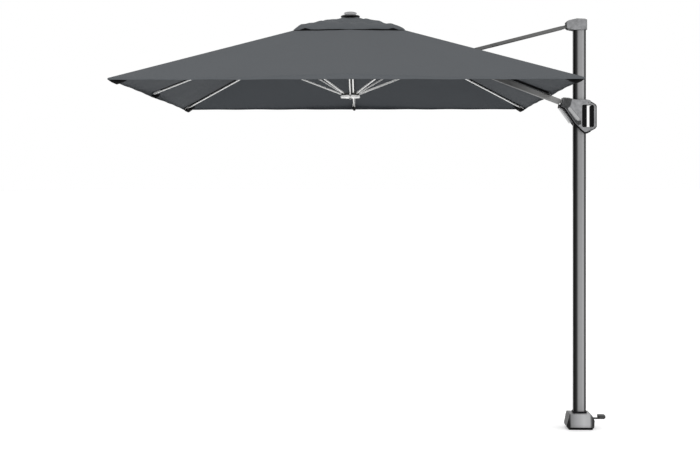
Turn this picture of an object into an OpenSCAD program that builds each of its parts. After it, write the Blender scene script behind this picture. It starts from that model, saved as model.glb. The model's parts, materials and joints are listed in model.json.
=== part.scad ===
// Free-arm garden umbrella with a square canopy and a swivelling floor foot.
// The mast stands on the origin and the canopy lies towards -X.
// All sizes are in millimetres.

/* [Canopy] */
// Side length of the square canopy
canopy_side = 2500; // [2200:50:2800]
// Distance from the mast axis to the canopy centre
canopy_reach = 1432; // [1300:1:1600]
// Height of the rib hinges in the crown
crown_z = 2554; // [2400:1:2700]
// Height of the hem's lower edge
hem_z = 2072; // [1900:1:2200]
// Cloth thickness
cloth = 1.2; // [0.8:0.1:3]
// Half side of the small upper vent cover
vent_half = 333; // [250:1:420]

/* [Mast] */
// Mast width in the plane of the boom
mast_w = 77; // [60:1:100]
// Mast depth across that plane
mast_d = 58; // [40:1:90]
// Height of the mast tube's top end
mast_top = 2500; // [2300:1:2700]
// Wall thickness of the mast tube
mast_wall = 2.6; // [1.5:0.1:4]

/* [Arms] */
// Boom depth in its own plane
boom_dep = 36; // [28:1:44]
// Boom width across that plane
boom_wid = 24; // [18:1:26]
// Strut depth in its own plane
strut_dep = 23; // [18:1:30]
// Rib depth
rib_dep = 13; // [9:1:16]
// Rib width
rib_wid = 10; // [8:1:14]

/* [Foot] */
// Foot width in the plane of the boom
foot_w = 174; // [150:1:240]
// Foot depth across that plane
foot_d = 150; // [120:1:200]
// Height of the foot housing
foot_h = 97; // [80:1:120]

/* [Hidden] */
$fn = 64;

half = canopy_side / 2;
xc = -canopy_reach;
run_gap = 0.05;
fit_gap = 0.2;

// Fold linkage: mast pin, carriage pin and the strut-to-boom pin form an isosceles triangle.
boom_slope = 0.385;
boom_a = atan(boom_slope);
pin_m = [-66, 2520];
pin_s = [-66, 2040];
boom_ref = [-124.6, 2040];
j_z = (pin_m[1] + pin_s[1]) / 2;
pin_j = [boom_ref[0] - (j_z - boom_ref[1]) / boom_slope, j_z];
pin_h = [xc, crown_z - 42];
pin_r = 6;
strut_a = 14.04;
strut_org = [pin_m[0], pin_m[1] - 7.4];
strut_end = 505;
tube_start = 46;

// Rib geometry: hinge radius in the crown, tip radius and slope of each kind of rib.
hub_r = 50;
mid_tip_r = half - 10;
mid_slope = boom_a;
diag_rim_r = half * sqrt(2) - 10;
diag_tip_r = diag_rim_r - 14;
diag_slope = atan((crown_z - hem_z - 2) / (diag_rim_r - hub_r));
runner_z = 2088;
mid_arm = (crown_z - runner_z) / 2 / sin(mid_slope);
diag_arm = 623.33;
diag_drop = 12;
diag_link = 668.95;
diag_link_a = 25.291;
cloth_lift = 7.4;

function pt(org, a, u, v) = [org[0] + u * cos(a) - v * sin(a), org[1] + u * sin(a) + v * cos(a)];
// Point on the strut: u runs down the strut from the mast head, v is upwards.
function strut_pt(u, v) = pt(strut_org, 180 + strut_a, u, -v);
// Point on the boom: u runs from the fork pin towards the crown, v is upwards.
function boom_pt(u, v) = pt(pin_j, 180 - boom_a, u, -v);

module rrect(w, d, r) {
    square([w - 2 * r, d], center = true);
    square([w, d - 2 * r], center = true);
    for (x = [-1, 1], y = [-1, 1]) translate([x * (w / 2 - r), y * (d / 2 - r)]) circle(r);
}

// Stands a drawing made in the X-Z plane up between two Y values.
module slab(y0, y1) {
    translate([0, y1, 0]) rotate([90, 0, 0]) linear_extrude(y1 - y0) children();
}

module both_sides(y0, y1) {
    slab(y0, y1) children();
    slab(-y1, -y0) children();
}

// Round-ended bar between two points of a drawing; the strip is a little narrower than the ends,
// so that no flat side is tangent to them.
module bar(p, q, w) {
    translate(p) circle(w / 2);
    translate(q) circle(w / 2);
    strip(p, q, w * 0.985);
}

module strip(p, q, w) {
    d = q - p;
    translate(p) rotate(atan2(d[1], d[0])) translate([0, -w / 2]) square([norm(d), w]);
}

// Rectangular tube or bar between two points of the X-Z plane.
module beam(p, q, dep, wid, r, wall = 0) {
    d = q - p;
    translate([p[0], 0, p[1]]) rotate([0, 90 - atan2(d[1], d[0]), 0]) linear_extrude(norm(d)) difference() {
        rrect(dep, wid, r);
        if (wall > 0) rrect(dep - 2 * wall, wid - 2 * wall, max(r - wall, 0.5));
    }
}

// Pin or bore across the X-Z plane, centred on Y = 0.
module cross(p, r, len) {
    translate([p[0], 0, p[1]]) rotate([90, 0, 0]) cylinder(r = r, h = len, center = true);
}

// Box between two X, two Y and two Z values.
module block(x, y, z) {
    translate([x[0], y[0], z[0]]) cube([x[1] - x[0], y[1] - y[0], z[1] - z[0]]);
}

// ---------------------------------------------------------------- foot

plate_t = 6;
foot_corners = [
    [-1, -0.7], [-0.77, -1], [0.77, -1], [1, -0.7], [1, 0.7], [0.77, 1], [-0.77, 1], [-1, 0.7]
];
bolt_x = 50;
bolt_y = 45;
bolt_r = 5.5;
spindle_r = 24;
spindle_top = 292;
collar_z = 98;
collar_t = 10;
pedal_pivot = [52, 70];
pedal_pin_r = 4;

module foot_plate() color("dimgray") difference() {
    linear_extrude(plate_t) rrect(150, 132, 16);
    for (x = [-bolt_x, bolt_x], y = [-bolt_y, bolt_y]) {
        translate([x, y, -1]) cylinder(r = bolt_r, h = plate_t + 2);
    }
}

module foot_outline(w) {
    polygon([
        [-w + 16, plate_t], [-w + 3, 14], [-w, 26], [-w + 17, foot_h], [w - 25, foot_h],
        [w - 15, 84], [w, 54], [w - 3, 14], [w - 14, plate_t]
    ]);
}

module foot_housing() color("silver") difference() {
    intersection() {
        slab(-foot_d / 2, foot_d / 2) foot_outline(foot_w / 2);
        rotate([0, 0, 90]) slab(-foot_w / 2, foot_w / 2) polygon([
            [-foot_d / 2 + 26, 0], [-foot_d / 2 + 4, 16], [-foot_d / 2, 30], [-foot_d / 2 + 12, foot_h],
            [foot_d / 2 - 12, foot_h], [foot_d / 2, 30], [foot_d / 2 - 4, 16], [foot_d / 2 - 26, 0]
        ]);
        linear_extrude(foot_h) polygon([for (c = foot_corners) [c[0] * foot_w / 2, c[1] * foot_d / 2]]);
    }
    difference() {
        block([-66, 62], [-60, 60], [-1, 86]);
        for (s = [-1, 1]) translate([pedal_pivot[0], s * 18, 0]) block([-8, 20], [-4, 4], [60, 90]);
    }
    translate([0, 0, 80]) cylinder(r = 35.5, h = 30);
    cross(pedal_pivot, pedal_pin_r + run_gap, 60);
    block([55, 100], [-13.5, 13.5], [46, 82]);
}

module foot_spindle() color("gray") difference() {
    translate([0, 0, plate_t]) cylinder(r = spindle_r, h = spindle_top - plate_t);
    translate([0, 0, plate_t + 8]) cylinder(r = spindle_r - 4, h = spindle_top);
}

module pedal_arm() color("dimgray") difference() {
    union() {
        slab(-12, 12) polygon([
            [39, 67], [52, 63], [88, 58], [154, 58], [154, 65], [90, 65], [56, 76], [39, 76]
        ]);
        cross(pedal_pivot, 8.5, 23);
    }
    cross(pedal_pivot, pedal_pin_r + run_gap, 60);
}

module pedal_pad() color("lightgray") translate([137, 0, 65.2]) linear_extrude(16) rrect(44, 60, 8);

module pedal_pin() color("gray") cross(pedal_pivot, pedal_pin_r, 44);

// ---------------------------------------------------------------- mast

in_w = mast_w - 2 * mast_wall;
in_d = mast_d - 2 * mast_wall;
mast_bottom = collar_z + collar_t;
mast_corner = 13;

// Solid that fills the mast's bore, smaller than it by the play given.
module mast_plug(h, play) {
    linear_extrude(h) rrect(in_w - play, in_d - play, mast_corner - mast_wall);
}

module mast_tube() color("silver") translate([0, 0, mast_bottom]) {
    linear_extrude(mast_top - mast_bottom) difference() {
        rrect(mast_w, mast_d, mast_corner);
        rrect(in_w, in_d, mast_corner - mast_wall);
    }
}

module mast_collar() color("black") difference() {
    union() {
        translate([0, 0, collar_z]) linear_extrude(collar_t) rrect(mast_w + 11, mast_d + 14, 16);
        translate([0, 0, mast_bottom]) mast_plug(190, 0.4);
        translate([0, 0, 76]) cylinder(r = 34, h = 24);
    }
    translate([0, 0, 70]) cylinder(r = spindle_r + run_gap, h = 300);
}

head_in = [
    [-80, 2500.4], [-80, 2535], [-68, 2542], [-21, 2552], [28, 2550], [38, 2546], [38, 2500.4]
];
head_out = [
    [-84, 2500], [-84, 2538], [-70, 2546], [-21, 2557], [29, 2555], [43, 2549], [43, 2487],
    [-36, 2485], [-73, 2492]
];

module head_slot() block([-120, -34], [-16, 16], [2400, 2533]);

module head_core() color("gray") difference() {
    union() {
        slab(-24, 24) polygon(head_in);
        translate([0, 0, mast_top - spigot_len]) mast_plug(spigot_len - 0.2, 0.4);
        translate([0, 0, mast_top - 6]) linear_extrude(12) rrect(neck_w, neck_d, 10);
    }
    head_slot();
    cross(pin_m, pin_r + fit_gap, 80);
}

module head_shell(y0, y1) {
    difference() {
        slab(y0, y1) polygon(head_out);
        slab(-24.3, 24.3) polygon([
            [-81, 2480], [-81, 2535.6], [-68.3, 2542.6], [-21, 2552.6], [28.2, 2550.6],
            [38.4, 2546.4], [38.4, 2480]
        ]);
        translate([0, 0, 2400]) linear_extrude(100.3) rrect(mast_w + 0.6, mast_d + 0.6, mast_corner);
        head_slot();
        for (p = head_screw_at) cross(p, 2.2, 100);
    }
}

head_screw_at = [[-60, 2497], [32, 2495]];
module head_front() color("dimgray") head_shell(-35, -0.05);
module head_back() color("dimgray") head_shell(0.05, 35);
module head_pin() color("gray") cross(pin_m, pin_r, 48);

// Cap screws that hold the two head shells together.
module screw(p, r, head_r, y_in, y_out) {
    translate([p[0], 0, p[1]]) rotate([90, 0, 0]) {
        translate([0, 0, y_in]) cylinder(r = r, h = y_out - y_in);
        translate([0, 0, y_out]) cylinder(r = head_r, h = 2);
    }
}

module head_screws() color("gray") for (p = head_screw_at) screw(p, 2, 3.6, 30.5, 35.1);

// ---------------------------------------------------------------- strut

module strut_tube() color("silver") difference() {
    beam(strut_pt(tube_start, 0), strut_pt(strut_end, 0), strut_dep, 36, 6, 2);
    for (u = fork_bolt_u) cross(strut_pt(u, 0), 3.2, 80);
}

module strut_root() color("dimgray") difference() {
    union() {
        slab(-15, 15) bar(pin_m, strut_pt(36, 0), 17);
        slab(-15, 15) translate(pin_m) circle(11);
        beam(strut_pt(30, 0), strut_pt(45.5, 0), 20, 33, 4);
        beam(strut_pt(45, 0), strut_pt(110, 0), strut_dep - 4.6, 31.4, 3);
    }
    cross(pin_m, pin_r + run_gap, 80);
}

fork_bend = strut_pt(655, 0);
fork_knee = strut_pt(702, -26);
fork_bolt_u = [470, 492];

module strut_fork() color("dimgray") difference() {
    both_sides(18.3, 22.3) {
        strip(strut_pt(455, 0), fork_bend, 20);
        bar(fork_bend, fork_knee, 20);
        bar(fork_knee, pin_j, 20);
        translate(pin_j) circle(14);
    }
    cross(pin_j, pin_r + run_gap, 80);
    for (u = fork_bolt_u) cross(strut_pt(u, 0), 3.2, 80);
}

module strut_bolts() color("gray") for (u = fork_bolt_u) {
    cross(strut_pt(u, 0), 3, 48);
    for (s = [-1, 1]) translate([0, s * 23.9, 0]) cross(strut_pt(u, 0), 5, 3);
}

module fork_pin() color("gray") {
    cross(pin_j, pin_r, 46);
    for (s = [-1, 1]) translate([0, s * 24, 0]) cross(pin_j, 9, 3);
}

// ---------------------------------------------------------------- boom

boom_first = -672;
boom_last = 626;

module boom_tube() color("olive") difference() {
    beam(boom_pt(boom_first, 0), boom_pt(boom_last, 0), boom_dep, boom_wid, 5, 2);
    cross(pin_j, pin_r + run_gap, 60);
}

module boom_root() color("dimgray") difference() {
    union() {
        slab(-8.8, 8.8) strip(pin_s, boom_pt(-664, 1), 20);
        cross(pin_s, 12, 19.2);
        beam(boom_pt(-671.5, 0), boom_pt(-600, 0), boom_dep - 4.8, boom_wid - 4.8, 3.4);
    }
    cross(pin_s, pin_r + run_gap, 60);
}

module boom_tip() color("dimgray") difference() {
    union() {
        both_sides(boom_wid / 2 + 0.2, boom_wid / 2 + 4) {
            bar(boom_pt(560, 0), boom_pt(640, -4), 26);
            bar(boom_pt(640, -4), pin_h, 26);
        }
        slab(-boom_wid / 2 - 1, boom_wid / 2 + 1) strip(boom_pt(630, -14), boom_pt(630, 8), 5);
    }
    cross(pin_h, pin_r + run_gap, 60);
}

// ---------------------------------------------------------------- carriage

shell_outline = [
    [-126, 2010], [-109, 2034], [-104.6, 2065], [-70, 2062], [-34.5, 2052], [37.5, 2051.5],
    [55, 2048.5], [81, 2033.6], [100.6, 2020.7], [104, 2011], [104, 1882], [95.5, 1871],
    [39.3, 1841.5], [24.5, 1841.6], [6.7, 1855.5], [-36, 1904], [-98, 1998]
];
window_mid = [49, 1949];
window_size = [76, 138];
lever_boss_r = 9;
recess_ends = [[-66, 1993], [-14, 1930]];
recess_w = 22;
recess_t = 1.2;
lever_pivot = [-54, 1919];
shell_screw_at = [[52, 2034], [93, 2018], [93, 1880], [52, 1856]];

module carriage_shell(y0, y1) {
    difference() {
        union() {
            slab(y0, y1) polygon(shell_outline);
            if (y0 < 0) slab(y0 + 4, -31) bar([-36, 1934], lever_pivot, 18);
            else slab(31, y1 - 4) bar([-36, 1934], lever_pivot, 18);
        }
        slab(-60, 60) translate(window_mid) rrect(window_size[0], window_size[1], 9);
        block([-42.5, 42.5], [-31.5, 31.5], [1800, 2100]);
        slab(-13.2, 13.2) polygon([[-150, 1995], [-78, 1995], [-40, 2020], [-40, 2100], [-150, 2100]]);
        for (s = [-1, 1]) block([64, 140], s > 0 ? [25, 60] : [-60, -25], [1800, 2100]);
        cross(pin_s, pin_r + fit_gap, 80);
        cross(lever_pivot, 4.2, 90);
        cross(lever_pivot, lever_boss_r + 1, 60.8);
        both_sides(44 - recess_t, 45) bar(recess_ends[0], recess_ends[1], recess_w);
        for (p = shell_screw_at) cross(p, 2.2, 100);
    }
}

module carriage_front() color("dimgray") carriage_shell(-44, -0.05);
module carriage_back() color("dimgray") carriage_shell(0.05, 44);

module carriage_pads() color("white") {
    gap = 0.45;
    x0 = mast_w / 2 + gap;
    y0 = mast_d / 2 + gap;
    block([-42.3, -x0], [-22, 22], [2014, 2044]);
    block([-42.3, -x0], [-22, 22], [1926, 1956]);
    block([x0, 42.3], [-22, 22], [2020, 2044]);
    block([x0, 42.3], [-22, 22], [1848, 1878]);
    for (s = [-1, 1]) {
        block([-24, 24], s > 0 ? [y0, 31.3] : [-31.3, -y0], [2020, 2044]);
        block([8, 30], s > 0 ? [y0, 31.3] : [-31.3, -y0], [1858, 1876]);
    }
}

module carriage_pin() color("gray") cross(pin_s, pin_r, 78);

module carriage_screws() color("gray") for (i = [0:3]) {
    screw(shell_screw_at[i], 2, 3.8, 14, i == 0 || i == 3 ? 44.1 : 25.1);
}

module carriage_grip() color("black") slab(-20, 20) translate([76.4, 1949]) rrect(20.4, 133, 6);

module release_lever() color("dimgray") difference() {
    union() {
        slab(-30, 30) polygon([[-128, 2000], [-113, 1995], [-56, 1925], [-49, 1911], [-60, 1905.5]]);
        cross(lever_pivot, lever_boss_r, 60.3);
    }
    cross(lever_pivot, 4 + run_gap, 90);
}

module release_pin() color("gray") cross(lever_pivot, 4, 76);

// ---------------------------------------------------------------- crown and runner

rib_pin_r = 3;
link_pin_r = 2.5;
compass = [0, 45, 90, 135, 180, 225, 270, 315];

// Puts a piece drawn along +X in the X-Z plane round to one rib's direction.
module toward(a) {
    translate([xc, 0, 0]) rotate([0, 0, a]) children();
}

module crown() color("dimgray") {
    difference() {
        union() {
            translate([xc, 0, crown_z - 13]) cylinder(r = 61, h = 24);
            block([xc - 16, xc + 16], [-10, 10], [crown_z - 58, crown_z - 5]);
        }
        for (a = compass) toward(a) block([37, 80], [-rib_wid / 2 - 0.6, rib_wid / 2 + 0.6],
            [crown_z - 30, crown_z + 30]);
        cross(pin_h, pin_r + fit_gap, 60);
        translate([xc, 0, crown_z - 60]) cylinder(r = 7, h = 20);
        translate([xc, 0, crown_z]) cylinder(r = 4.2, h = 20);
    }
    for (a = compass) toward(a) cross([hub_r, crown_z], rib_pin_r, rib_wid + 1.4);
}

module crown_pin() color("gray") {
    cross(pin_h, pin_r, 34);
    for (s = [-1, 1]) translate([0, s * 17.6, 0]) cross(pin_h, 9, 3);
}

stem_r = 11;
stem_top = crown_z - 58;
stem_end = 2056;

module stem() color("gray") translate([xc, 0, 0]) rotate_extrude() {
    polygon([
        [0, stem_end + 4], [5, stem_end], [6, stem_end + 6], [stem_r, stem_end + 12],
        [stem_r, stem_top - 0.2], [6.8, stem_top - 0.2], [6.8, stem_top + 9], [0, stem_top + 9]
    ]);
}

module finial() color("silver") translate([xc, 0, 0]) rotate_extrude() {
    polygon([
        [0, 2556], [4, 2556], [4, 2571], [58, 2571], [60, 2574], [60, 2579], [54, 2583],
        [30, 2585], [28, 2589], [38, 2592], [41, 2596], [38, 2601], [24, 2605], [0, 2606]
    ]);
}

stick_x = 26.5;
stick_r = 5;

module runner() color("white") {
    difference() {
        union() {
            translate([xc, 0, 2067]) cylinder(r = 60.5, h = 13);
            translate([xc, 0, 2080]) cylinder(r = 58, h = 15);
        }
        translate([xc, 0, 2000]) cylinder(r = stem_r + 0.4, h = 200);
        translate([xc + stick_x, 0, 2000]) cylinder(r = stick_r + run_gap, h = 200);
        for (a = [90, 180, 270]) toward(a) block([36, 80], [-4.5, 4.5], [2060, 2100]);
        for (a = [45, 135, 225, 315]) toward(a) block([32, 80], [-4.5, 4.5], [2060, 2100]);
        for (s = [-1, 1]) toward(0) translate([0, s * 15, 0]) block([36, 80], [-2.1, 2.1], [2060, 2100]);
    }
    for (a = [90, 180, 270]) toward(a) cross([hub_r, runner_z], link_pin_r, 10);
    toward(0) cross([hub_r, runner_z], link_pin_r, 36);
}

module runner_stick() color("silver") translate([xc + stick_x, 0, 0]) rotate_extrude() {
    polygon([
        [0, 1986], [4, 1986], [6, 1990], [6, 2006], [4, 2009], [4, 2062], [stick_r, 2064],
        [stick_r, 2114], [3, 2117], [0, 2117]
    ]);
}

// ---------------------------------------------------------------- ribs and stretchers

tip_wid = 18;
tip_len = 46;

function rib_pt(slope, u, v) = pt([hub_r, crown_z], -slope, u, v);

module rib_body(slope, tip_r) {
    len = (tip_r - hub_r) / cos(slope);
    difference() {
        union() {
            beam(rib_pt(slope, 0, 0), rib_pt(slope, len, 0), rib_dep, rib_wid, 2);
            cross([hub_r, crown_z], 8, rib_wid + 0.5);
            slab(-tip_wid / 2, tip_wid / 2) {
                strip(rib_pt(slope, len - tip_len, -1), rib_pt(slope, len - 1, -1), rib_dep - 3);
            }
        }
        cross([hub_r, crown_z], rib_pin_r + run_gap, 40);
    }
}

module mid_rib(a, pin_len) toward(a) {
    rib_body(mid_slope, mid_tip_r);
    cross(rib_pt(mid_slope, mid_arm, 0), link_pin_r, pin_len);
}

module diag_rib(a) toward(a) {
    rib_body(diag_slope, diag_tip_r);
    slab(-rib_wid / 2 + 0.4, rib_wid / 2 - 0.4) bar(
        rib_pt(diag_slope, diag_arm, -diag_drop), rib_pt(diag_slope, diag_arm, -3), 11);
    cross(rib_pt(diag_slope, diag_arm, -diag_drop), link_pin_r, 17);
}

module rib_e() color("silver") mid_rib(0, 34);
module rib_n() color("silver") mid_rib(90, 17);
module rib_w() color("silver") mid_rib(180, 17);
module rib_s() color("silver") mid_rib(270, 17);
module rib_ne() color("silver") diag_rib(45);
module rib_nw() color("silver") diag_rib(135);
module rib_sw() color("silver") diag_rib(225);
module rib_se() color("silver") diag_rib(315);

// Stretcher from a rib pin p down to the runner point q: a bar with two ears round the rib.
module stretcher(p, q, ear_y, lower_bore) {
    d = q - p;
    a = atan2(d[1], d[0]);
    difference() {
        union() {
            beam(pt(p, a, 34, 0), pt(q, a, -8, 0), 10, 7, 2);
            both_sides(ear_y, ear_y + 2.4) bar(p, pt(p, a, 44, 0), 11);
            slab(-ear_y - 1, ear_y + 1) strip(pt(p, a, 36, 0), pt(p, a, 48, 0), 9);
            slab(-3.8, 3.8) bar(pt(q, a, -10, 0), q, 10.8);
        }
        cross(p, link_pin_r + run_gap, 40);
        if (lower_bore) cross(q, link_pin_r + run_gap, 40);
    }
}

module mid_stretcher(a) toward(a) {
    stretcher(rib_pt(mid_slope, mid_arm, 0), [hub_r, runner_z], 5.4, true);
}

module diag_stretcher(a) toward(a) {
    p = rib_pt(diag_slope, diag_arm, -diag_drop);
    q = pt(p, 180 + diag_link_a, diag_link, 0);
    stretcher(p, q, 5.4, false);
}

module stretcher_e() color("silver") toward(0) difference() {
    both_sides(13.4, 16.4) bar(rib_pt(mid_slope, mid_arm, 0), [hub_r, runner_z], 10);
    cross(rib_pt(mid_slope, mid_arm, 0), link_pin_r + run_gap, 60);
    cross([hub_r, runner_z], link_pin_r + run_gap, 60);
}
module stretcher_n() color("silver") mid_stretcher(90);
module stretcher_w() color("silver") mid_stretcher(180);
module stretcher_s() color("silver") mid_stretcher(270);
module stretcher_ne() color("silver") diag_stretcher(45);
module stretcher_nw() color("silver") diag_stretcher(135);
module stretcher_sw() color("silver") diag_stretcher(225);
module stretcher_se() color("silver") diag_stretcher(315);

// ---------------------------------------------------------------- canopy cloth

// Height of the cloth's underside in the eighth between a mid rib (along +X) and a corner rib.
function cloth_low(x, y) = let(
    top = crown_z + hub_r * tan(mid_slope) + cloth_lift,
    mid_z = top - half * tan(mid_slope),
    cor_z = hem_z + 9
) top - (top - mid_z) * x / half - (mid_z - cor_z) * y / half;

// Flat-sided slab over a plan outline, on the cloth plane; flip draws the mirrored eighth.
module cloth_slab(pts, lift, thick, flip) {
    n = len(pts);
    low = [for (p = pts) [p[0], p[1], cloth_low(p[0], p[1]) + lift]];
    high = [for (p = low) [p[0], p[1], p[2] + thick]];
    mirror([0, flip ? 1 : 0, 0]) polyhedron(
        points = concat(low, high),
        faces = concat(
            [[for (i = [0:n - 1]) i]],
            [[for (i = [0:n - 1]) 2 * n - 1 - i]],
            [for (i = [0:n - 1]) [i, n + i, n + (i + 1) % n, (i + 1) % n]]
        )
    );
}

seam_t = tan(22.5);
inner_x = 66;
slot_x = [520, 775];
slot_y = 27;
hem_gap_y = 15;
spigot_len = 60;
neck_w = 68;
neck_d = 46.8;
hem_gap_h = 13;

// Rim strip hanging from the cloth's edge.
module hem_strip(y0, y1, flip) {
    mirror([0, flip ? 1 : 0, 0]) translate([half - cloth, 0, 0]) rotate([90, 0, 90]) linear_extrude(cloth)
        polygon([[y0, hem_z], [y1, hem_z], [y1, cloth_low(half, y1) + 0.6], [y0, cloth_low(half, y0) + 0.6]]);
}

vent_lift = 7;
vent_in = 64;

// One rib's share of the cloth: both sides of a mid rib.
module mid_cloth(a) toward(a) for (flip = [false, true]) {
    cloth_slab([[inner_x, 0], [half, 0], [half, half * seam_t], [inner_x, inner_x * seam_t]], 0, cloth, flip);
    hem_strip(0, half * seam_t, flip);
    cloth_slab([[vent_in, 0], [vent_half, 0], [vent_half, vent_half * seam_t], [vent_in, vent_in * seam_t]],
        vent_lift, cloth, flip);
}

// One rib's share of the cloth: both sides of a corner rib, drawn in the mid ribs' frames.
module diag_cloth(a) for (k = [0, 1]) toward(a - 45 + 90 * k) {
    flip = k == 1;
    cloth_slab([
        [inner_x, inner_x * seam_t + 0.3], [half, half * seam_t + 0.3],
        [half, half], [inner_x, inner_x]
    ], 0, cloth, flip);
    hem_strip(half * seam_t + 0.3, half - 0.7, flip);
    cloth_slab([
        [vent_in, vent_in * seam_t + 0.3], [vent_half, vent_half * seam_t + 0.3],
        [vent_half, vent_half], [vent_in, vent_in]
    ], vent_lift, cloth, flip);
}

module canopy_e() color("slategray") difference() {
    mid_cloth(0);
    toward(0) block(slot_x, [-slot_y, slot_y], [hem_z, crown_z]);
    toward(0) block([half - 60, half + 5], [-hem_gap_y, hem_gap_y], [hem_z - 1, hem_z + hem_gap_h]);
}
module canopy_n() color("slategray") mid_cloth(90);
module canopy_w() color("slategray") mid_cloth(180);
module canopy_s() color("slategray") mid_cloth(270);
module canopy_ne() color("slategray") diag_cloth(45);
module canopy_nw() color("slategray") diag_cloth(135);
module canopy_sw() color("slategray") diag_cloth(225);
module canopy_se() color("slategray") diag_cloth(315);

foot_plate();
foot_housing();
foot_spindle();
pedal_arm();
pedal_pad();
pedal_pin();
mast_tube();
mast_collar();
head_core();
head_front();
head_back();
head_pin();
head_screws();
strut_tube();
strut_root();
strut_fork();
strut_bolts();
fork_pin();
boom_tube();
boom_root();
boom_tip();
carriage_front();
carriage_back();
carriage_pads();
carriage_pin();
carriage_screws();
carriage_grip();
release_lever();
release_pin();
crown();
crown_pin();
stem();
finial();
runner();
runner_stick();
rib_e();
rib_ne();
rib_n();
rib_nw();
rib_w();
rib_sw();
rib_s();
rib_se();
stretcher_e();
stretcher_ne();
stretcher_n();
stretcher_nw();
stretcher_w();
stretcher_sw();
stretcher_s();
stretcher_se();
canopy_e();
canopy_ne();
canopy_n();
canopy_nw();
canopy_w();
canopy_sw();
canopy_s();
canopy_se();
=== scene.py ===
import json
import math

import bpy
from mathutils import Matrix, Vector


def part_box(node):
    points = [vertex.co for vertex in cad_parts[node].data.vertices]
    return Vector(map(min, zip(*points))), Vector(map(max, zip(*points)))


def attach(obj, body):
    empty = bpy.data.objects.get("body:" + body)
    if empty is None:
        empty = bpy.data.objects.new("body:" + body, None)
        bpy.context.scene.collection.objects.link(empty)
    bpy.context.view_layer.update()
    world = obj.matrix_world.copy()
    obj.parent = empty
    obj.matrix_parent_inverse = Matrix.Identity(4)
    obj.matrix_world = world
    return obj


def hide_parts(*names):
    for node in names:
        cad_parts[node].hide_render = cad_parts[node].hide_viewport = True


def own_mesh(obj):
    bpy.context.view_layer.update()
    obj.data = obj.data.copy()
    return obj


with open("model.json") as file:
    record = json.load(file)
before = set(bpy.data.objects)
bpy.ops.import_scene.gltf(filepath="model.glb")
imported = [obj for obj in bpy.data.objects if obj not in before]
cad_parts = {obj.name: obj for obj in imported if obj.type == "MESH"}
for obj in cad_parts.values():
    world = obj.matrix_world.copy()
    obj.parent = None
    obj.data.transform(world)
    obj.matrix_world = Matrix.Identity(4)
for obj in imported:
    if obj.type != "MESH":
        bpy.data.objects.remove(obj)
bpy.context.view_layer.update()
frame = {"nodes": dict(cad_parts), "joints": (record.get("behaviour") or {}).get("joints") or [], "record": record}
nodes = frame["nodes"]
record = frame["record"]
joints = {j["name"]: j for j in frame["joints"]}

# ------------------------------------------------------------------ driving points, read from the frame

COMPASS = {"e": 0, "ne": 45, "n": 90, "nw": 135, "w": 180, "sw": 225, "s": 270, "se": 315}
MM = 0.001
hinge_e = Vector(joints["rib_e_hinge"]["pos_m"])
crown_x = joints["crown_pivot"]["pos_m"][0]
hub_r = hinge_e.x - crown_x
crown_z = hinge_e.z
cloth_low, cloth_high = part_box("canopy_e")
half = cloth_high.x - crown_x
hem_z = cloth_low.z
cap_low, cap_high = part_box("finial")
runner_low, runner_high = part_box("runner")
shell_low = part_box("carriage_front")[0]
mast_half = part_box("mast_tube")[1].x
# Slope of a mid rib, and of a corner rib that ends 10 mm inside the corner and 2 mm above the hem.
mid_tan = 0.385
mid_slope = math.atan(mid_tan)
diag_slope = math.atan((crown_z - hem_z - 0.002) / (half * math.sqrt(2) - 0.010 - hub_r))


# ------------------------------------------------------------------ materials

def node(tree, kind, **values):
    made = tree.nodes.new("ShaderNode" + kind)
    for key, value in values.items():
        if hasattr(made, key):
            setattr(made, key, value)
        else:
            made.inputs[key.replace("_", " ")].default_value = value
    return made


def maths(tree, operation, a, b=None):
    made = tree.nodes.new("ShaderNodeMath")
    made.operation = operation
    for socket, value in zip(made.inputs, (a, b)):
        if value is None:
            continue
        if isinstance(value, (int, float)):
            socket.default_value = value
        else:
            tree.links.new(value, socket)
    return made.outputs["Value"]


def mixed(tree, factor, a, b, blend="MIX"):
    made = tree.nodes.new("ShaderNodeMix")
    made.data_type = "RGBA"
    made.blend_type = blend
    for name, value in (("Factor", factor), ("A", a), ("B", b)):
        if isinstance(value, (int, float)):
            made.inputs[name].default_value = value
        elif isinstance(value, tuple):
            made.inputs[name].default_value = (*value, 1)
        else:
            tree.links.new(value, made.inputs[name])
    return made.outputs["Result"]


def smooth_range(tree, value, low, high):
    made = node(tree, "MapRange", interpolation_type="SMOOTHSTEP")
    made.inputs["From Min"].default_value = low
    made.inputs["From Max"].default_value = high
    tree.links.new(value, made.inputs["Value"])
    return made.outputs["Result"]


def scaled(colour, k):
    return tuple(min(1.0, c * k) for c in colour)


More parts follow.
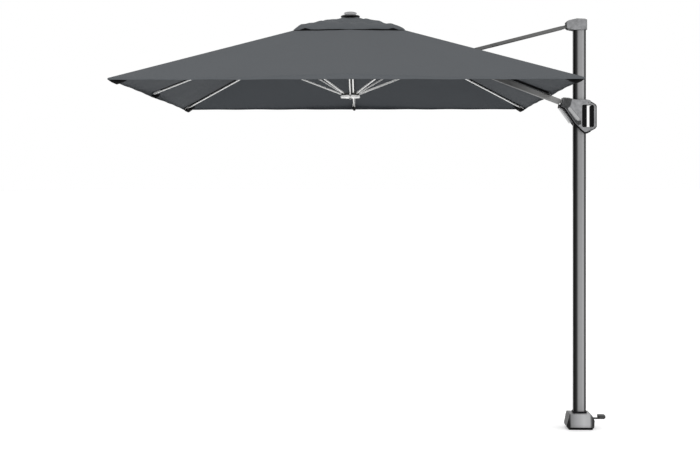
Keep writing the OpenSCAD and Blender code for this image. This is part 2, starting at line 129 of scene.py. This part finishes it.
def new_material(name, colour, rough, metal=0.0, grain=0.0, grain_size=900.0, mottle=0.05, cloud_size=9.0,
                 edge=0.0, side_shade=None, side_shade_span=(0.70, 0.98), rim=0.0, gloss=0.5):
    """A procedural finish: cloudy colour and roughness, fine grain and rounded edges, with optional painted shade.

    An optional colour paints shade on the sides that face neither the front, the back nor up; rim paints shade in
    a band along sharp edges.
    """
    mat = bpy.data.materials.new(name)
    mat.use_nodes = True
    tree = mat.node_tree
    shader = tree.nodes["Principled BSDF"]
    shader.inputs["Metallic"].default_value = metal
    shader.inputs["Specular IOR Level"].default_value = gloss
    place = tree.nodes.new("ShaderNodeTexCoord")
    cloud = node(tree, "TexNoise", Scale=cloud_size, Detail=5.0)
    tree.links.new(place.outputs["Object"], cloud.inputs["Vector"])
    tint = mixed(tree, cloud.outputs["Fac"], scaled(colour, 1 - mottle), scaled(colour, 1 + mottle))
    # Painted shade: sides turned from the front, the back and up blend to the shade colour.
    if side_shade is not None:
        turned_to = node(tree, "SeparateXYZ")
        tree.links.new(place.outputs["Normal"], turned_to.inputs["Vector"])
        sideways = maths(tree, "ABSOLUTE", turned_to.outputs["Y"])
        facing = maths(tree, "MAXIMUM", sideways, turned_to.outputs["Z"])
        tint = mixed(tree, smooth_range(tree, facing, *side_shade_span), side_shade, tint)
    # Painted shade: a dark band along sharp edges, where the bevelled normal leaves the true one.
    if rim > 0:
        round_off = node(tree, "Bevel", samples=6, Radius=rim)
        flat = node(tree, "NewGeometry")
        dot = node(tree, "VectorMath", operation="DOT_PRODUCT")
        tree.links.new(round_off.outputs["Normal"], dot.inputs[0])
        tree.links.new(flat.outputs["True Normal"], dot.inputs[1])
        flatness = smooth_range(tree, dot.outputs["Value"], 0.80, 0.985)
        tint = mixed(tree, flatness, scaled(colour, 0.22), tint)
    tree.links.new(tint, shader.inputs["Base Color"])
    wear = node(tree, "MapRange")
    wear.inputs["To Min"].default_value = max(0.03, rough - 0.06)
    wear.inputs["To Max"].default_value = min(1.0, rough + 0.06)
    tree.links.new(cloud.outputs["Fac"], wear.inputs["Value"])
    tree.links.new(wear.outputs["Result"], shader.inputs["Roughness"])
    normal = None
    if edge > 0:
        normal = node(tree, "Bevel", samples=4, Radius=edge).outputs["Normal"]
    if grain > 0:
        speck = node(tree, "TexNoise", Scale=grain_size, Detail=2.0)
        tree.links.new(place.outputs["Object"], speck.inputs["Vector"])
        bump = node(tree, "Bump", Strength=grain, Distance=0.0006)
        tree.links.new(speck.outputs["Fac"], bump.inputs["Height"])
        if normal is not None:
            tree.links.new(normal, bump.inputs["Normal"])
        normal = bump.outputs["Normal"]
    if normal is not None:
        tree.links.new(normal, shader.inputs["Normal"])
    return mat


def base_colour_link(mat):
    """The socket that feeds a material's base colour."""
    return mat.node_tree.nodes["Principled BSDF"].inputs["Base Color"].links[0].from_socket


def cloth_material(name, colour, underside_shade=None, weave=260.0):
    """Plain-weave polyester: crossed fine waves over a soft mottle, with painted shade that darkens the underside.
    """
    mat = new_material(name, colour, 0.92, mottle=0.05, cloud_size=3.5, gloss=0.12)
    tree = mat.node_tree
    shader = tree.nodes["Principled BSDF"]
    shader.inputs["Sheen Weight"].default_value = 0.02
    # Painted shade: the underside takes the darker colour.
    if underside_shade is not None:
        side = tree.nodes.new("ShaderNodeNewGeometry")
        tint = mixed(tree, side.outputs["Backfacing"], base_colour_link(mat), underside_shade)
        tree.links.new(tint, shader.inputs["Base Color"])
    place = tree.nodes.new("ShaderNodeTexCoord")
    height = None
    for axis in ("X", "Y"):
        thread = node(tree, "TexWave", wave_type="BANDS", bands_direction=axis, Scale=weave, Distortion=0.6)
        tree.links.new(place.outputs["Object"], thread.inputs["Vector"])
        wave = thread.outputs["Fac"]
        height = wave if height is None else maths(tree, "MULTIPLY", height, wave)
    bump = node(tree, "Bump", Strength=0.25, Distance=0.0004)
    tree.links.new(height, bump.inputs["Height"])
    tree.links.new(bump.outputs["Normal"], shader.inputs["Normal"])
    return mat


def shade_and_tone_ramp(mat, axis, stops):
    """Multiplies a material's colour by a ramp along one axis: stops are (metres, gain). It paints shade and
    highlights across the mast, boom and foot, and lighter and darker bands on the runner, stick and finial.
    """
    tree = mat.node_tree
    shader = tree.nodes["Principled BSDF"]
    place = tree.nodes.new("ShaderNodeTexCoord")
    split = tree.nodes.new("ShaderNodeSeparateXYZ")
    tree.links.new(place.outputs["Object"], split.inputs["Vector"])
    first, last = stops[0][0], stops[-1][0]
    spread = node(tree, "MapRange")
    spread.inputs["From Min"].default_value = first
    spread.inputs["From Max"].default_value = last
    tree.links.new(split.outputs[axis], spread.inputs["Value"])
    ramp = tree.nodes.new("ShaderNodeValToRGB")
    while len(ramp.color_ramp.elements) < len(stops):
        ramp.color_ramp.elements.new(0.5)
    for element, (at, gain) in zip(ramp.color_ramp.elements, stops):
        element.position = (at - first) / (last - first)
        element.color = (gain, gain, gain, 1)
    tree.links.new(spread.outputs["Result"], ramp.inputs["Fac"])
    tint = mixed(tree, 1.0, base_colour_link(mat), ramp.outputs["Color"], "MULTIPLY")
    tree.links.new(tint, shader.inputs["Base Color"])
    return mat


# Colour of the painted shade on sides turned away from the light.
SIDE_SHADE_BLACK = (0.006, 0.006, 0.0065)
CLOTH = cloth_material("polyester_cloth_painted_underside", (0.083, 0.089, 0.096), underside_shade=(0.038, 0.042, 0.047))
HEM = cloth_material("polyester_hem_painted_underside", (0.062, 0.066, 0.071), underside_shade=(0.026, 0.029, 0.033))
# Black cloth for painted shadow: bands over the ribs, the main cloth under the vent and the vent's last hem row.
SHADOW_CLOTH = cloth_material("black_painted_shadow_cloth", (0.0045, 0.0045, 0.005), weave=420.0)
# Painted shade and highlight on the mast: sides turned away go black, and the ramp across X darkens both edges and
# lights a strip right of the middle.
MAST = new_material("mast_powder_coat_painted_shade", (0.235, 0.235, 0.238), 0.45, 0.15, 0.12, 1100, 0.04, 5.0,
                    side_shade=SIDE_SHADE_BLACK, side_shade_span=(0.86, 1.0), gloss=0.12)
shade_and_tone_ramp(MAST, "X", [
    (-mast_half, 0.04), (-0.62 * mast_half, 0.05), (-0.46 * mast_half, 0.20), (-0.32 * mast_half, 0.80),
    (-0.14 * mast_half, 1.05), (0.36 * mast_half, 1.15), (0.52 * mast_half, 1.50), (0.64 * mast_half, 0.70),
    (0.76 * mast_half, 0.10), (mast_half, 0.05),
])
# Painted shade and light on the boom: dark as in the canopy's shadow, and brighter near the carriage, where it
# comes out of that shadow.
BOOM = new_material("boom_powder_coat_painted_shade", (0.094, 0.094, 0.093), 0.42, 0.15, 0.12, 1100, 0.06, 9.0,
                    edge=0.003, gloss=0.2)
shade_and_tone_ramp(BOOM, "X", [(-1.5, 1.0), (-0.44, 1.0), (-0.27, 2.4), (0.1, 2.4)])
# Painted shade on the strut: faces that turn down and away from front and back are darkened.
STRUT = new_material("strut_powder_coat_painted_shade", (0.125, 0.125, 0.124), 0.42, 0.15, 0.12, 1100, 0.05, 9.0,
                     edge=0.004, side_shade=SIDE_SHADE_BLACK, side_shade_span=(0.30, 0.97), gloss=0.15)
# Painted shade on the shell: sides turned away from front, back and top are darkened, and rim darkens a band along
# its edges.
SHELL = new_material("shell_moulding_painted_shade", (0.23, 0.232, 0.238), 0.42, 0.15, 0.6, 240, 0.55, 42.0,
                     edge=0.003, side_shade=SIDE_SHADE_BLACK, rim=0.007, gloss=0.15)
# Black rubber for the rib caps, also used for the painted shade bands along the carriage edges and inside the grip
# window.
RUBBER_AND_SHADE = new_material("black_rubber_and_painted_shade", (0.004, 0.004, 0.0045), 0.70, 0.0, 0.5, 700, 0.10, 30.0,
                      edge=0.001, gloss=0.08)
DARK_SPECKLE = new_material("dark_speckled_patch", (0.045, 0.046, 0.047), 0.65, 0.0, 0.9, 190, 0.85, 95.0, gloss=0.1)
INLAY = new_material("inlay_plate", (0.34, 0.343, 0.346), 0.34, 0.2, 0.08, 1500, 0.10, 22.0, gloss=0.3)
RUNNER = new_material("runner_moulding", (0.85, 0.85, 0.84), 0.35, 0.0, 0.08, 1400, 0.03, 9.0, edge=0.001)
runner_step = 2.0805
shade_and_tone_ramp(RUNNER, "Z", [
    (runner_low.z, 1.0), (runner_step - 0.0006, 1.0), (runner_step, 0.03), (runner_high.z, 0.02),
])
STICK = new_material("stick_plate", (0.60, 0.60, 0.59), 0.30, 0.9, 0.08, 1500, 0.04, 9.0, edge=0.001)
stick_low, stick_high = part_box("runner_stick")
shade_and_tone_ramp(STICK, "Z", [
    (stick_low.z, 0.03), (stick_low.z + 0.022, 0.04), (stick_low.z + 0.024, 1.0),
    (runner_high.z - 0.002, 1.0), (runner_high.z, 0.45), (stick_high.z, 0.45),
])
FINIAL = new_material("finial_moulding", (0.42, 0.42, 0.425), 0.4, 0.1, 0.1, 1400, 0.05,
                      edge=0.001, gloss=0.2)
shade_and_tone_ramp(FINIAL, "Z", [
    (cap_low.z, 0.03), (cap_high.z - 0.0235, 0.04), (cap_high.z - 0.0225, 1.2),
    (cap_high.z - 0.011, 1.3), (cap_high.z - 0.008, 0.42), (cap_high.z, 0.36),
])
# Painted shade and highlight on the foot: sides turned away go dark, and the ramp across X darkens both ends and
# lights the middle.
FOOT = new_material("foot_powder_coat_painted_shade", (0.29, 0.292, 0.296), 0.40, 0.15, 0.15, 900, 0.07, 9.0,
                    edge=0.004, side_shade=SIDE_SHADE_BLACK, side_shade_span=(0.86, 0.985), gloss=0.2)
foot_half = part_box("foot_housing")[1].x
shade_and_tone_ramp(FOOT, "X", [
    (-foot_half, 0.10), (-0.78 * foot_half, 0.12), (-0.70 * foot_half, 0.60), (-0.30 * foot_half, 1.0),
    (0.20 * foot_half, 1.35), (0.62 * foot_half, 1.2), (0.74 * foot_half, 0.20), (foot_half, 0.08),
])
MATERIALS = {
    "foot_grey": FOOT,
    "steel_dark": new_material("black_powder_coat", (0.012, 0.012, 0.013), 0.5, 0.1, 0.2, 900, 0.06, 9.0,
                               edge=0.0015),
    "mast_grey": MAST,
    "arm_grey": STRUT,
    "plastic_dark": new_material("dark_moulding", (0.008, 0.008, 0.009), 0.55, 0.0, 0.25, 1400,
                                 edge=0.002, gloss=0.12),
    "plastic_grey": SHELL,
    "plastic_light": RUNNER,
    "grip_black": RUBBER_AND_SHADE,
    "bright_steel": new_material("zinc_steel", (0.20, 0.20, 0.20), 0.34, 0.9, 0.08, 1500, 0.04, edge=0.0008),
    "rib_silver": new_material("rib_anodised", (0.80, 0.80, 0.79), 0.34, 0.7, 0.1, 1500, 0.03, edge=0.001),
    "cloth_grey": CLOTH,
}
BY_NODE = {
    "boom_tube": BOOM, "boom_root": BOOM, "boom_tip": BOOM, "runner_stick": STICK,
    "strut_bolts": STRUT, "fork_pin": STRUT,
    "pedal_pad": new_material("pedal_rubber", (0.045, 0.045, 0.045), 0.6, 0.0, 0.5, 500, 0.1,
                              edge=0.004, gloss=0.2),
    "finial": FINIAL, "rib_e": RUBBER_AND_SHADE, "release_lever": INLAY,
}

slot_of = {part["node"]: part["material_slot"] for part in record["subparts"]}
for name, obj in nodes.items():
    obj.data.materials.clear()
    obj.data.materials.append(BY_NODE.get(name, MATERIALS[slot_of[name]]))


# ------------------------------------------------------------------ helpers for pieces

def mesh_piece(name, verts, faces, material, body, smooth=True):
    data = bpy.data.meshes.new(name)
    data.from_pydata([tuple(v) for v in verts], [], faces)
    data.materials.append(material)
    data.update()
    for face in data.polygons:
        face.use_smooth = smooth
    obj = bpy.data.objects.new(name, data)
    bpy.context.scene.collection.objects.link(obj)
    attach(obj, body)
    return obj


def turned(p, degrees):
    """A point drawn round the crown axis, along +X, turned to its rib's direction."""
    a = math.radians(degrees)
    return Vector((
        crown_x + p[0] * math.cos(a) - p[1] * math.sin(a),
        p[0] * math.sin(a) + p[1] * math.cos(a),
        p[2],
    ))


def grid_faces(rows, columns, outward, closed=False):
    """Quads between rows of points; closed joins each row's last point to its first."""
    faces = []
    last = columns if closed else columns - 1
    for i in range(rows - 1):
        for k in range(last):
            a = i * columns + k
            b = i * columns + (k + 1) % columns
            quad = (a, b, b + columns, a + columns)
            faces.append(quad if outward else quad[::-1])
    return faces


def loft(rings):
    """A closed skin over rings of equal length, with both ends capped."""
    verts = [p for ring in rings for p in ring]
    count = len(rings[0])
    faces = grid_faces(len(rings), count, True, closed=True)
    faces.append(tuple(range(count))[::-1])
    start = (len(rings) - 1) * count
    faces.append(tuple(range(start, start + count)))
    return verts, faces


# ------------------------------------------------------------------ canopy cloth

LIFT = 0.0078
apex_z = crown_z + hub_r * mid_tan + LIFT
mid_rim_z = apex_z - half * mid_tan
corner_rim_z = hem_z + 0.0098
SEAM = math.tan(math.radians(22.5))
INNER = 0.064
SAG = 0.013
HOLLOW = 0.012
MAIN_ROWS = 44
HEM_DROPS = (0.10, 0.45, 0.60, 0.86, 0.98)
COLUMNS = 14
SLOT_X = (0.520, 0.775)
SLOT_Y = 0.026
# The east hem opens below this share of its drop, where the boom passes under it.
HEM_GAP_DROP = 0.60
HEM_GAP_Y = 0.0135
VENT_HALF = 0.333
VENT_INNER = 0.030
# Painted shadow: inside this radius the main cloth is drawn black, showing as a dark line beneath the vent's hem.
PAINTED_SHADOW_REACH = VENT_HALF + 0.009
VENT_ROWS = 22
VENT_COLUMNS = 12


def plane_z(x, y):
    return apex_z - (apex_z - mid_rim_z) * x / half - (mid_rim_z - corner_rim_z) * y / half


def between(t):
    """0 on a rib, 1 half way between two ribs."""
    return 4 * t * (1 - t)


def main_point(share, t):
    """share 0 to 1 runs from the crown to the rim, t 0 to 1 from a mid rib to a corner rib."""
    rim = half - HOLLOW * between(t)
    x = INNER + (rim - INNER) * share
    sag = SAG * between(t) * (x / half) ** 1.3
    ripple = 0.0016 * math.sin(19 * t + 3 * share) * between(t) * share
    return x, t * x, plane_z(x, t * x) - sag + ripple


def hem_point(t, drop):
    x, y, z = main_point(1.0, t)
    low = hem_z + 0.0012 * math.sin(25 * t) * between(t)
    out = 0.0012
    return x + out, y * (x + out) / x, z + (low - z) * drop


def creases(x, y):
    """Irregular folds of the loose vent cover, in metres, from waves in several directions."""
    total = 0.0
    for angle, length, size, phase in (
            (20, 0.21, 0.0042, 0.4), (75, 0.13, 0.0030, 1.9), (130, 0.17, 0.0036, 3.1),
            (160, 0.083, 0.0019, 0.8), (48, 0.067, 0.0015, 2.6)):
        a = math.radians(angle)
        total += size * math.sin(2 * math.pi * (x * math.cos(a) + y * math.sin(a)) / length + phase)
    return total


def vent_point(share, t, side, base):
    rim = VENT_HALF - 0.006 * between(t)
    x = VENT_INNER + (rim - VENT_INNER) * share
    y = t * x
    out = x / VENT_HALF
    where = turned((x, y * side, 0), base)
    gape = 0.011 * max(0.0, 1 - abs(t - 0.80) / 0.10) * out ** 6
    puff = 0.002 + 0.017 * max(0.0, math.sin(math.pi * min(1.0, out ** 2.6))) + 0.003 * out ** 3
    fold = creases(where.x - crown_x, where.y) * min(1.0, 3.4 * out * out) * (1 - out ** 7) * 1.4
    z = plane_z(x, y) + puff + gape + max(fold, -0.006 - 0.010 * (1 - out))
    return x, y, min(z, cap_low.z + 0.0145)


def vent_hem_point(t, drop, side, base):
    x, y, z = vent_point(1.0, t, side, base)
    return x + 0.001, y, z - 0.011 * drop


def share_of(x):
    return (x - INNER) / (half - INNER)


def main_rows(t0, t1, slotted):
    steps = sorted([i / MAIN_ROWS for i in range(MAIN_ROWS + 1)] + [share_of(PAINTED_SHADOW_REACH)])
    if slotted:
        steps = sorted(steps + [share_of(SLOT_X[0]), share_of(SLOT_X[1])])
    rows = []
    for share in steps:
        x = INNER + (half - INNER) * share
        first = t0
        if slotted and SLOT_X[0] - 1e-6 <= x <= SLOT_X[1] + 1e-6:
            first = SLOT_Y / x
        rows.append([main_point(share, first + (t1 - first) * k / COLUMNS) for k in range(COLUMNS + 1)])
    for drop in HEM_DROPS:
        first = HEM_GAP_Y / half if slotted and drop >= HEM_GAP_DROP else t0
        rows.append([hem_point(first + (t1 - first) * k / COLUMNS, drop) for k in range(COLUMNS + 1)])
    return rows


def vent_rows(t0, t1, side, base):
    ts = [t0 + (t1 - t0) * k / VENT_COLUMNS for k in range(VENT_COLUMNS + 1)]
    rows = [[vent_point(i / VENT_ROWS, t, side, base) for t in ts] for i in range(VENT_ROWS + 1)]
    rows += [[vent_hem_point(t, drop, side, base) for t in ts] for drop in (0.4, 1.0)]
    return rows


for rib, angle in COMPASS.items():
    is_mid = angle % 90 == 0
    body = "rib_" + rib
    for hand, tag in ((1, "left"), (-1, "right")):
        side = hand if is_mid else -hand
        base = angle if is_mid else angle - 45 * side
        t0, t1 = (0.0, SEAM) if is_mid else (SEAM, 1.0)
        for kind in ("main", "vent"):
            rows = main_rows(t0, t1, rib == "e") if kind == "main" else vent_rows(t0, t1, side, base)
            verts = [turned((x, y * side, z), base) for row in rows for x, y, z in row]
            faces = grid_faces(len(rows), len(rows[0]), side < 0)
            obj = mesh_piece(f"cloth_{kind}_{rib}_{tag}", verts, faces, CLOTH, body)
            obj.data.materials.append(HEM)
            obj.data.materials.append(SHADOW_CLOTH)
            a_row = len(rows[0]) - 1
            # Painted shadow: the main cloth under the vent and the vent's last hem row are drawn black.
            painted_shadow_faces = sum(row[0][0] <= PAINTED_SHADOW_REACH + 1e-6 for row in rows[1:]) * a_row
            for index, face in enumerate(obj.data.polygons):
                if kind == "main" and index >= len(faces) - a_row:
                    face.material_index = 1
                if (kind == "main" and index < painted_shadow_faces) or (kind == "vent" and index >= len(faces) - a_row):
                    face.material_index = 2
            if kind == "main" and hand > 0:
                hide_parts("canopy_" + rib)
            reach = half / math.cos(math.radians(21)) if is_mid else half * math.sqrt(2) * 1.04
            if kind == "vent":
                reach *= VENT_HALF / half
            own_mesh(obj)


# ------------------------------------------------------------------ painted shadow bands and caps on the ribs

def on_rib(angle, slope, u, side, up):
    """A point u along a rib from its hinge, side metres across it and up metres above its centre line."""
    r = hub_r + u * math.cos(slope) + up * math.sin(slope)
    return turned((r, side, crown_z - u * math.sin(slope) + up * math.cos(slope)), angle)


SHADOW_BAND = [(-6.3, 0.6), (-6.3, 6.0), (-5.4, 6.9), (5.4, 6.9), (6.3, 6.0), (6.3, 0.6)]


def strip_along(name, angle, slope, section, spans, material):
    """A thin band of one cross-section (mm) laid along a rib between pairs of distances."""
    verts, faces = [], []
    for start, stop in spans:
        rows = 10
        first = len(verts)
        for i in range(rows):
            u = start + (stop - start) * i / (rows - 1)
            verts += [on_rib(angle, slope, u, s * MM, v * MM) for s, v in section]
        faces += [tuple(first + k for k in f) for f in grid_faces(rows, len(section), True)]
    return mesh_piece(name, verts, faces, material, "rib_" + name.split("_")[-1], smooth=False)


def cap(rib, angle, stations):
    """A moulded pocket over a rib's end: stations are (radius, half width, top, bottom) in metres."""
    rings = []
    for radius, wide, top, bottom in stations:
        ring = []
        for k in range(12):
            a = 2 * math.pi * k / 12
            z = (top + bottom) / 2 + (top - bottom) / 2 * math.sin(a)
            ring.append(turned((radius, wide * math.cos(a), z), angle))
        rings.append(ring)
    verts, faces = loft(rings)
    return mesh_piece("cap_" + rib, verts, faces, RUBBER_AND_SHADE, "rib_" + rib)


corner_r = half * math.sqrt(2)
# Black bands, painted shadow along the ribs, start and stop this far from a rib's ends, and leave a mid rib's
# stretcher joint bare.
SHADOW_BAND_END = 0.060
BARE = (0.560, 0.740)
for rib, angle in COMPASS.items():
    is_mid = angle % 90 == 0
    slope = mid_slope if is_mid else diag_slope
    reach = (half if is_mid else corner_r) - hub_r
    last = reach / math.cos(slope) - SHADOW_BAND_END
    spans = [(SHADOW_BAND_END, BARE[0]), (BARE[1], last)] if is_mid else [(SHADOW_BAND_END, last)]
    # Painted shadow: a black band laid over each rib for the rib's dark side.
    strip_along("sleeve_" + rib, angle, slope, SHADOW_BAND, spans, SHADOW_CLOTH)
    if is_mid:
        wide, low = {"e": (0.0132, 0.0105), "s": (0.009, 0.0)}.get(rib, (0.009, -0.009))
        cap(rib, angle, [
            (half - 0.052, 0.003, hem_z + 0.022, hem_z + 0.016),
            (half - 0.040, wide, hem_z + 0.020, hem_z + max(low, 0.001)),
            (half - 0.022, wide, hem_z + 0.018, hem_z + low),
            (half - 0.010, wide, hem_z + 0.0165, hem_z + max(low, 0.0)),
            (half + 0.0005, 0.8 * wide, hem_z + 0.0145, hem_z + max(low, 0.005)),
        ])
    else:
        cap(rib, angle, [
            (corner_r - 0.135, 0.003, hem_z + 0.020, hem_z + 0.012),
            (corner_r - 0.095, 0.010, hem_z + 0.014, hem_z - 0.008),
            (corner_r - 0.056, 0.014, hem_z + 0.008, hem_z - 0.022),
            (corner_r - 0.025, 0.010, hem_z + 0.006, hem_z - 0.012),
            (corner_r - 0.004, 0.003, hem_z + 0.005, hem_z - 0.001),
        ])


# ------------------------------------------------------------------ carriage: painted edge shade, dark patch, inlay and painted window shade

EDGE_SHADE_PATH = [
    (-119, 2027), (-124, 2005.5), (-99, 1994.5), (-35, 1900.5), (8.2, 1858), (25.5, 1844),
    (38.6, 1843.8), (62, 1856),
]
GRIP_EDGE_SHADE_PATH = [(66, 1858), (94, 1872.8), (101.6, 1883), (101.6, 2010), (98.4, 2019.3), (80, 2031), (66, 2039)]
DARK_PATCH_EDGE = [
    (-120.5, 2010.5), (-107, 2033.5), (-102.8, 2061), (-70, 2058.5), (-52, 2053.5), (-62, 2014),
    (-79, 1995), (-76, 1984), (-27, 1921), (-12, 1916), (3, 1919), (5, 1898), (-14, 1890),
    (-30, 1905), (-92, 1998),
]
RECESS = [(-66, 1993), (-14, 1930)]
GRIP_FACE = 0.0248
# Painted shade: a black plate over the mast inside the grip window, standing for the window's shade.
WINDOW_SHADE_X = (12, 42)
WINDOW_SHADE_Y = (30.3, 31.2)
WINDOW_SHADE_Z = (1881, 2017)


def ribbon(name, path, width, face_y, thick, material):
    """A raised band along a path of (x, z) in mm, on the front (face_y < 0) or back face."""
    sign = -1 if face_y < 0 else 1
    points = [Vector(p) * MM for p in path]
    rings = []
    for i, p in enumerate(points):
        before = points[max(0, i - 1)]
        after = points[min(len(points) - 1, i + 1)]
        along = (after - before).normalized()
        normal = Vector((-along.y, along.x)) * (width / 2)
        ring = []
        for k, h in ((-1.0, 0.0), (-0.8, 1.0), (0.8, 1.0), (1.0, 0.0)):
            q = p + normal * k
            ring.append(Vector((q.x, (face_y + sign * thick * h), q.y)))
        rings.append(ring)
    verts, faces = loft(rings)
    return mesh_piece(name, verts, faces, material, "carriage", smooth=False)


def plate(name, outline, face_y, thick, material):
    """A flat raised plate with a bevelled edge over an outline of (x, z) in mm."""
    sign = -1 if face_y < 0 else 1
    centre = sum((Vector(p) for p in outline), Vector((0, 0))) / len(outline)
    rings = []
    for inset, h in ((0.0, 0.0), (0.0, 0.6), (0.03, 1.0)):
        ring = []
        for p in outline:
            q = Vector(p).lerp(centre, inset) * MM
            ring.append(Vector((q.x, face_y + sign * thick * h, q.y)))
        rings.append(ring)
    verts, faces = loft(rings)
    return mesh_piece(name, verts, faces, material, "carriage", smooth=False)


def capsule(ends, width):
    """Outline of a round-ended slot between two points, in mm."""
    a, b = Vector(ends[0]), Vector(ends[1])
    along = (b - a).normalized()
    start = math.atan2(along.y, along.x)
    outline = []
    for centre, turn in ((b, -90), (a, 90)):
        for k in range(9):
            angle = start + math.radians(turn + 180 * k / 8)
            outline.append((centre.x + width / 2 * math.cos(angle), centre.y + width / 2 * math.sin(angle)))
    return outline


def box_plate(name, xs, ys, zs, material):
    """A thin plate with softened corners between two X, Y and Z values in mm."""
    cut = 2.0
    outline = [
        (xs[0] + cut, zs[0]), (xs[1] - cut, zs[0]), (xs[1], zs[0] + cut), (xs[1], zs[1] - cut),
        (xs[1] - cut, zs[1]), (xs[0] + cut, zs[1]), (xs[0], zs[1] - cut), (xs[0], zs[0] + cut),
    ]
    rings = [[Vector((x * MM, y * MM, z * MM)) for x, z in outline] for y in ys]
    verts, faces = loft(rings)
    return mesh_piece(name, verts, faces, material, "carriage", smooth=False)


deep = abs(shell_low.y)
for sign, tag in ((-1, "front"), (1, "back")):
    # Painted shade: black bands along the shell's lower edge and the grip's edge, on both faces.
    ribbon("trim_" + tag, EDGE_SHADE_PATH, 0.0105, sign * (deep - 0.0002), 0.0012, RUBBER_AND_SHADE)
    ribbon("trim_grip_" + tag, GRIP_EDGE_SHADE_PATH, 0.0055, sign * GRIP_FACE, 0.0012, RUBBER_AND_SHADE)
    # A darker speckled patch on each face of the shell by the boom socket.
    plate("dark_patch_" + tag, DARK_PATCH_EDGE, sign * (deep - 0.0001), 0.0010, DARK_SPECKLE)
    plate("inlay_" + tag, capsule(RECESS, 20.0), sign * (deep - 0.0012), 0.0008, INLAY)
    # Painted shade inside the grip window.
    window_shade_y = [sign * y for y in WINDOW_SHADE_Y]
    box_plate("window_shade_" + tag, WINDOW_SHADE_X, window_shade_y, WINDOW_SHADE_Z, RUBBER_AND_SHADE)


# ------------------------------------------------------------------ stage, light and camera

floor_data = bpy.data.meshes.new("floor")
floor_data.from_pydata([(-90, -40, 0), (90, -40, 0), (90, 400, 0), (-90, 400, 0)], [], [(0, 1, 2, 3)])
floor_material = new_material("pale_floor", (0.90, 0.90, 0.90), 0.9, mottle=0.0)
floor_shader = floor_material.node_tree.nodes["Principled BSDF"]
floor_shader.inputs["Emission Color"].default_value = (1, 1, 1, 1)
floor_shader.inputs["Emission Strength"].default_value = 0.30
floor_data.materials.append(floor_material)
floor = bpy.data.objects.new("floor", floor_data)
floor.location.z = -0.001
bpy.context.scene.collection.objects.link(floor)

world = bpy.data.worlds.new("studio")
world.use_nodes = True
world.node_tree.nodes["Background"].inputs["Color"].default_value = (1, 1, 1, 1)
world.node_tree.nodes["Background"].inputs["Strength"].default_value = 1.0
bpy.context.scene.world = world
bpy.context.scene.view_settings.view_transform = "Standard"


def area_light(name, place, target, size, power):
    light = bpy.data.lights.new(name, "AREA")
    light.shape = "RECTANGLE"
    light.size, light.size_y = size
    light.energy = power
    obj = bpy.data.objects.new(name, light)
    obj.location = place
    obj.rotation_mode = "QUATERNION"
    obj.rotation_quaternion = (Vector(target) - Vector(place)).to_track_quat("-Z", "Y")
    bpy.context.scene.collection.objects.link(obj)


area_light("key", (-4.0, -6.5, 5.5), (-1.0, 0, 1.8), (4.0, 3.0), 120)
area_light("fill", (4.5, -4.0, 3.0), (-0.3, 0, 1.5), (2.0, 4.0), 50)

camera_data = bpy.data.cameras.new("camera")
camera_data.sensor_width = 36.0
camera_data.lens = 61.56
camera_data.shift_y = -0.0683
camera = bpy.data.objects.new("camera", camera_data)
camera.location = (-1.2735, -7.5158, 1.515)
camera.rotation_euler = (math.radians(90), 0, math.radians(1.225))
bpy.context.scene.collection.objects.link(camera)
bpy.context.scene.camera = camera
